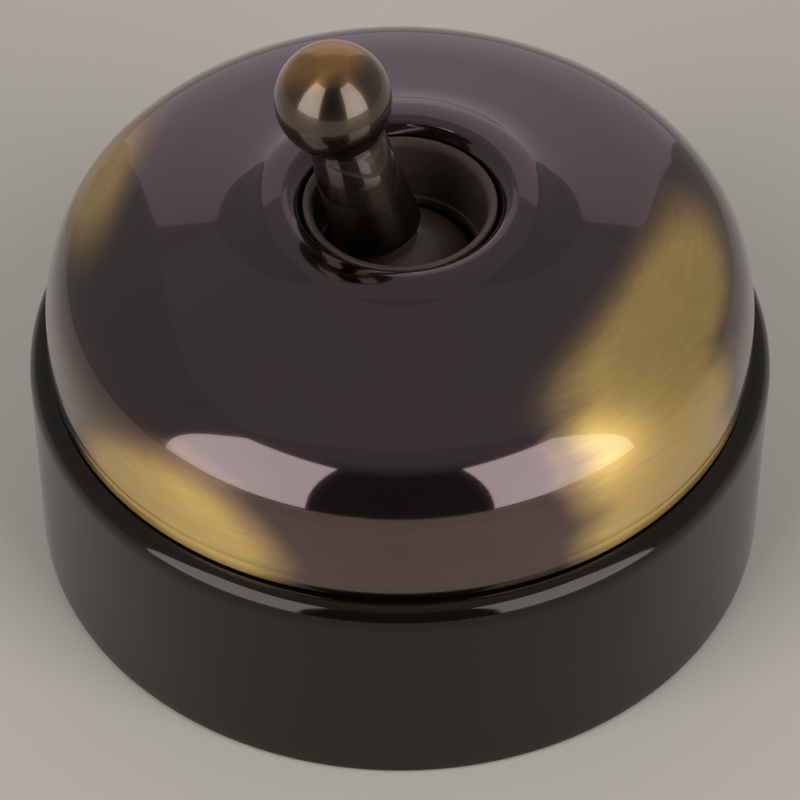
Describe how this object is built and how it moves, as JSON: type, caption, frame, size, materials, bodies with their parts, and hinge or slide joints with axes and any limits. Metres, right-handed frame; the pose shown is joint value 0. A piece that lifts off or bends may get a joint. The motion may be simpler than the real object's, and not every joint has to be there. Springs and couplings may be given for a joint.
{
  "type": "toggle wall switch",
  "caption": "Round surface-mounted toggle switch: glazed black base, domed antique brass screw-on cover, ball-ended lever working a sprung changeover contact.",
  "frame": {"origin": "centre of the base's flat back face, on the wall", "axes": "+Z out of the wall through the middle of the cover, +X to the right and the lever rocks between -X (rest) and +X"},
  "size_m": [0.063, 0.063, 0.0514],
  "materials": {
    "black_porcelain": "gloss glaze",
    "antique_brass_cover": "bronzed dark and relieved to bright brass, under gloss lacquer",
    "antique_brass_knob": "bronzed, polished and lacquered",
    "brown_moulding": "satin moulding",
    "bakelite": "satin moulding",
    "terminal_brass": "machined",
    "contact_copper": "rolled strip",
    "contact_silver": "burnished",
    "steel": "zinc plated",
    "fibre_lining": "matt vulcanised fibre"
  },
  "bodies": {
    "switch_body": {"porcelain_base": "black_porcelain", "toggle_cup": "brown_moulding", "mechanism_housing": "bakelite", "cover_thread_ring": "terminal_brass", "earth_strap": "terminal_brass", "terminal_block_common": "terminal_brass", "terminal_block_left": "terminal_brass", "terminal_block_right": "terminal_brass", "terminal_block_earth": "terminal_brass", "terminal_screw_common": "terminal_brass", "terminal_screw_left": "terminal_brass", "terminal_screw_right": "terminal_brass", "terminal_screw_earth": "terminal_brass", "common_saddle": "contact_copper", "fixed_contact_left": "contact_copper", "fixed_contact_right": "contact_copper", "fixed_contact_tip_left": "contact_silver", "fixed_contact_tip_right": "contact_silver", "pivot_pin": "steel", "cup_screw_left": "steel", "cup_screw_right": "steel", "mechanism_screw_1": "steel", "mechanism_screw_2": "steel"},
    "toggle_lever": {"toggle_knob": "antique_brass_knob", "knob_stud": "steel", "toggle_rocker": "brown_moulding", "plunger_spring": "steel"},
    "plunger": {"plunger": "steel"},
    "contact_rocker": {"contact_rocker": "contact_copper", "moving_contact_tip_left": "contact_silver", "moving_contact_tip_right": "contact_silver"},
    "cover_lining": {"cover_insulating_liner": "fibre_lining"},
    "cover": {"brass_cover": "antique_brass_cover"}
  },
  "joints": [
    {"name": "lever_toggle", "type": "hinge", "parent": "switch_body", "child": "toggle_lever", "pos_m": [0, 0, 0.0243], "axis": [0, 1, 0], "range_deg": [0, 26.8]},
    {"name": "contact_rock", "type": "hinge", "parent": "switch_body", "child": "contact_rocker", "pos_m": [0, 0, 0.01335], "axis": [0, 1, 0], "range_deg": [-16, 0]},
    {"name": "plunger_slide", "type": "slide", "parent": "toggle_lever", "child": "plunger", "axis": [-0.2317, 0, 0.9728], "range_m": [0, 0.001], "stiffness_N_per_m": 400, "springref_m": -0.001, "deforming": ["plunger_spring"]},
    {"name": "cover_lift", "type": "slide", "parent": "switch_body", "child": "cover_lining", "axis": [0, 0, 1], "range_m": [0, 0.0035]},
    {"name": "cover_unscrew", "type": "hinge", "parent": "cover_lining", "child": "cover", "pos_m": [0, 0, 0.0203], "axis": [0, 0, 1], "range_deg": [0, 720]}
  ],
  "couplings": [
    {"joint": "contact_rock", "follows": "lever_toggle", "ratio": -0.597},
    {"joint": "cover_unscrew", "follows": "cover_lift", "rad_per_m": 3590.4}
  ]
}
